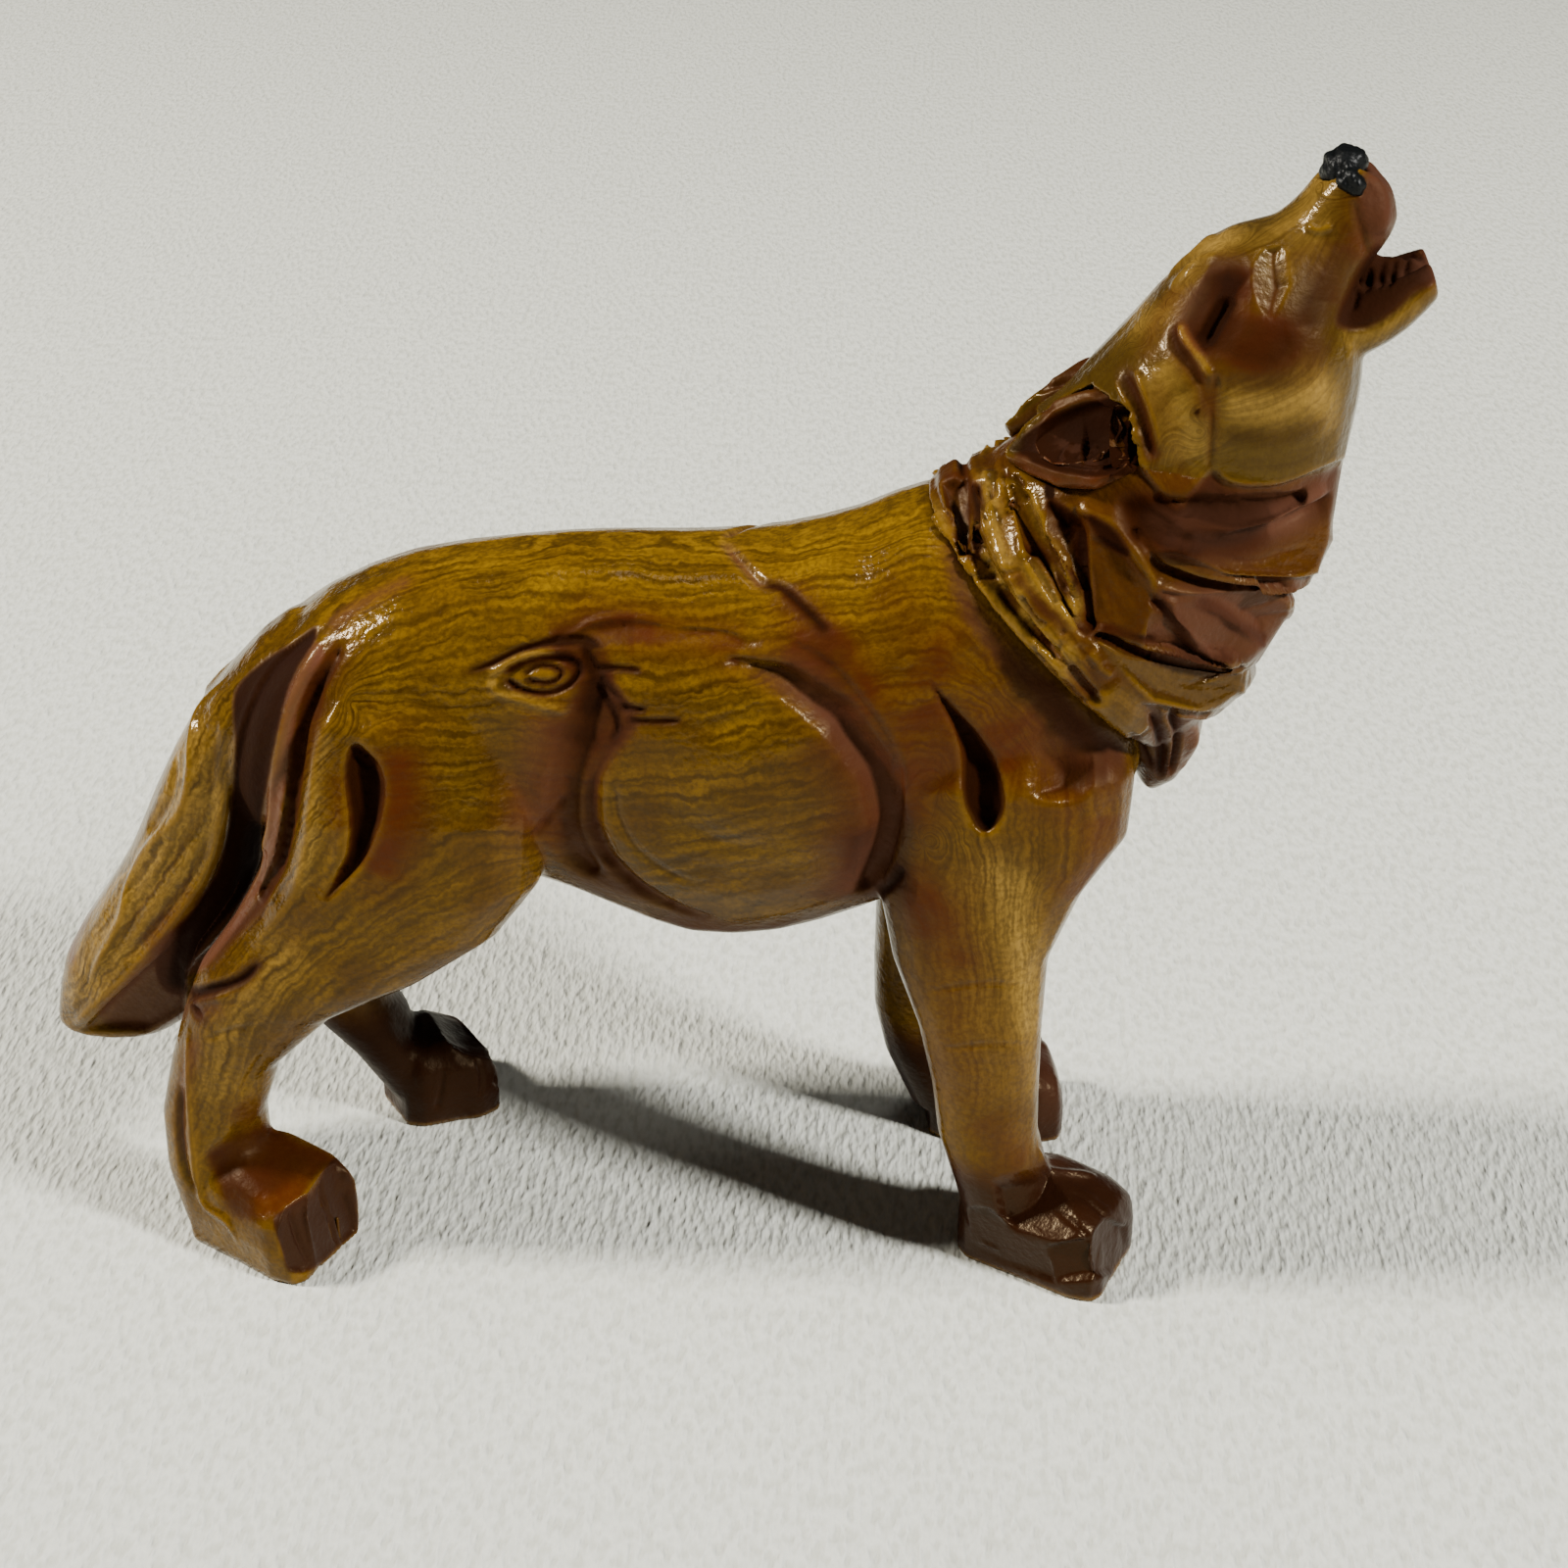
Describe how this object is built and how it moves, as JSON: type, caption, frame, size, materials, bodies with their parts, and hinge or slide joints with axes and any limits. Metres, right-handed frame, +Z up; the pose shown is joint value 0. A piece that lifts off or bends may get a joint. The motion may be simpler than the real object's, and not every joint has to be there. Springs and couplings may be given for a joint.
{
  "type": "wolf figurine",
  "caption": "Standing howling wolf figurine, cast resin with a carved-wood look, stained and glossy, with a stepped mane and a hanging tail.",
  "frame": {"origin": "middle of the figurine's bounding box, on the plane that the four paw soles stand on", "axes": "+X towards the head, +Y towards the wolf's left side, +Z up"},
  "size_m": [0.1254, 0.0384, 0.1056],
  "materials": {
    "honey_resin": "cast resin, honey-brown wood stain with painted grain, gloss varnish",
    "stained_resin": "cast resin, dark red-brown wood stain, gloss varnish",
    "nose_paint": "cast resin, black paint, gloss varnish"
  },
  "bodies": {
    "root": {"torso": "honey_resin", "mane": "stained_resin", "head": "honey_resin", "lower_jaw": "stained_resin", "nose": "nose_paint", "right_ear": "stained_resin", "left_ear": "stained_resin", "tail": "honey_resin", "front_right_leg": "honey_resin", "front_left_leg": "honey_resin", "hind_right_leg": "honey_resin", "hind_left_leg": "honey_resin"}
  },
  "joints": []
}
